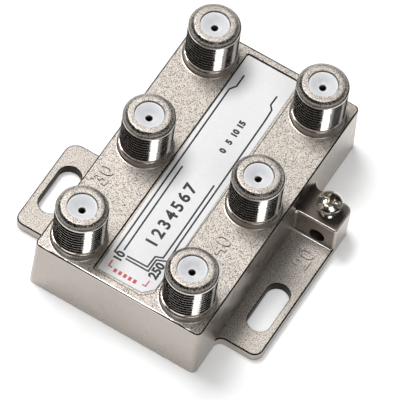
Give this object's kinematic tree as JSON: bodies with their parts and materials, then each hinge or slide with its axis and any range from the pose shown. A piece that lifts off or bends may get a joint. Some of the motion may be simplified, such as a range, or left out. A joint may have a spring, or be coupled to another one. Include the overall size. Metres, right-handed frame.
{
  "type": "coaxial splitter",
  "caption": "Die-cast coaxial signal splitter with threaded sockets in two rows on a flat box, slotted fixing lugs and an earth terminal with its screw.",
  "frame": {"origin": "middle of the back face, the face that lies on the wall", "axes": "+Z out of the back face towards the sockets' mouths, +Y along the long side away from the input and output sockets, +X towards the lug with the earth terminal"},
  "size_m": [0.0508, 0.0568, 0.0235],
  "materials": {
    "nickel_plate": "nickel plate over zinc die casting, grit-textured flat faces and satin sides",
    "cover_steel": "tinned sheet steel",
    "label_print": "printed polyester film, cool light grey with black and red print",
    "screw_plate": "bright nickel plate",
    "insulator_plastic": "moulded acetal, white",
    "contact_metal": "tinned phosphor bronze",
    "board_epoxy": "glass epoxy with green solder resist",
    "ferrite": "sintered ferrite, dull dark grey",
    "enamelled_wire": "enamelled copper",
    "capacitor_ceramic": "fired ceramic chip",
    "resistor_ceramic": "glazed thick-film chip"
  },
  "bodies": {
    "splitter": {"housing": "nickel_plate", "back_cover": "cover_steel", "label": "label_print", "insulator_in": "insulator_plastic", "insulator_out": "insulator_plastic", "insulator_tap_1": "insulator_plastic", "insulator_tap_2": "insulator_plastic", "insulator_tap_3": "insulator_plastic", "insulator_tap_4": "insulator_plastic", "contact_in": "contact_metal", "contact_out": "contact_metal", "contact_tap_1": "contact_metal", "contact_tap_2": "contact_metal", "contact_tap_3": "contact_metal", "contact_tap_4": "contact_metal", "circuit_board": "board_epoxy", "coupler_core": "ferrite", "coupler_winding": "enamelled_wire", "matching_core": "ferrite", "matching_winding": "enamelled_wire", "splitter_core_1": "ferrite", "splitter_winding_1": "enamelled_wire", "splitter_core_2": "ferrite", "splitter_winding_2": "enamelled_wire", "splitter_core_3": "ferrite", "splitter_winding_3": "enamelled_wire", "choke_core": "ferrite", "choke_winding": "enamelled_wire", "chip_capacitor_1": "capacitor_ceramic", "chip_capacitor_2": "capacitor_ceramic", "chip_capacitor_3": "capacitor_ceramic", "chip_capacitor_4": "capacitor_ceramic", "chip_capacitor_5": "capacitor_ceramic", "chip_capacitor_6": "capacitor_ceramic", "chip_resistor_1": "resistor_ceramic", "chip_resistor_2": "resistor_ceramic", "chip_resistor_3": "resistor_ceramic"},
    "earth_screw": {"earth_screw": "screw_plate"}
  },
  "joints": [
    {"name": "earth_screw_turn", "type": "hinge", "parent": "splitter", "child": "earth_screw", "pos_m": [0.0218, 0.0092, 0.0081], "axis": [0, 0, 1], "range_deg": [-1260, 1440]}
  ]
}
